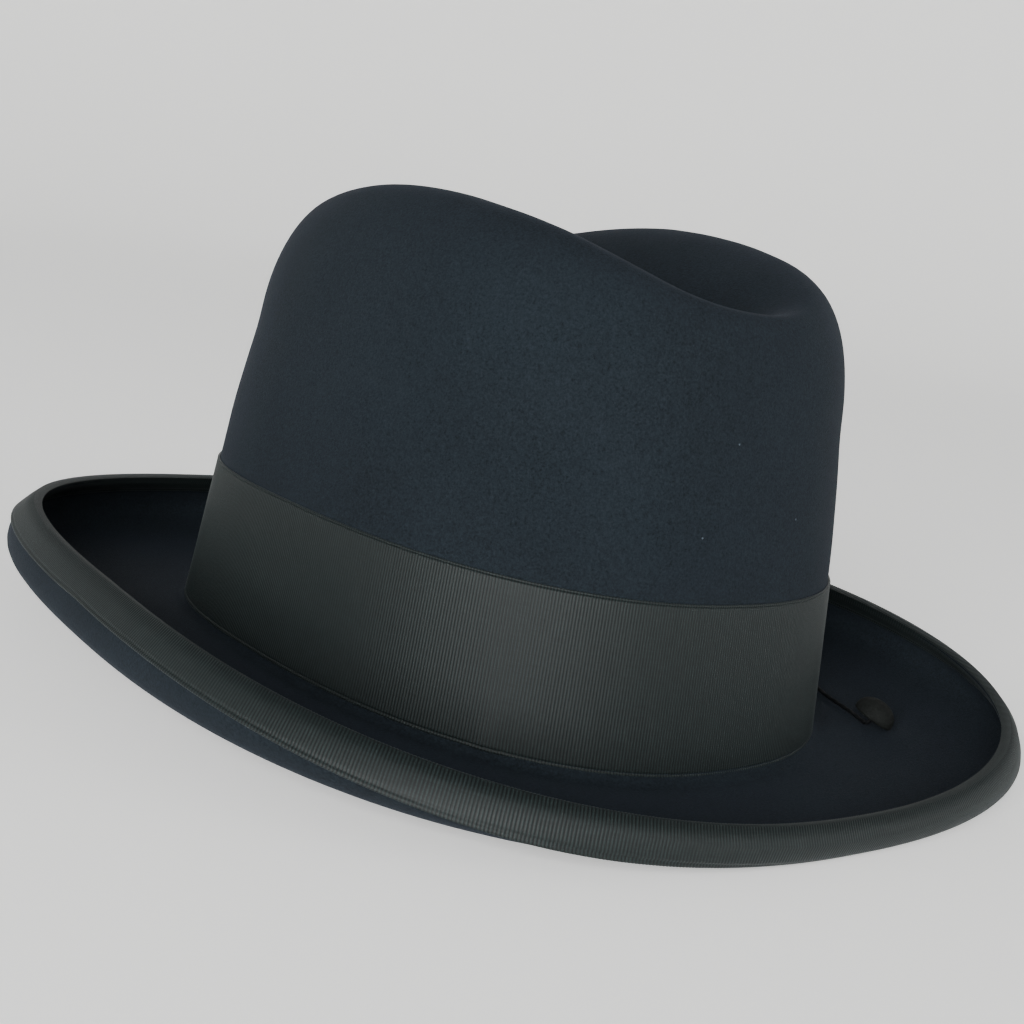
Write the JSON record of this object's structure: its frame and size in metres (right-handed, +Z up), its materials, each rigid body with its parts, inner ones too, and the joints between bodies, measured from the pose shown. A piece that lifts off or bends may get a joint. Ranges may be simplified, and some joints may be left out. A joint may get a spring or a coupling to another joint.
{
  "type": "homburg hat",
  "caption": "Stiff fur-felt hat with a lengthwise crease in its crown, a ribbon band, a bound and curled brim, and a wind cord with a covered button.",
  "frame": {"origin": "middle of the hat's outline, at the height of the surface that the brim rests on", "axes": "+Z up through the crown, -Y towards the front of the hat, +X towards the wearer's left, where the bow and the wind cord are"},
  "size_m": [0.283, 0.3222, 0.1434],
  "materials": {
    "felt": "matte",
    "grosgrain": "satin",
    "cord": "matte",
    "button_cloth": "satin"
  },
  "bodies": {
    "root": {"felt_body": "felt", "hat_band": "grosgrain", "brim_binding": "grosgrain", "bow": "grosgrain", "bow_keeper": "grosgrain", "wind_cord": "cord", "wind_button": "button_cloth"}
  },
  "joints": []
}
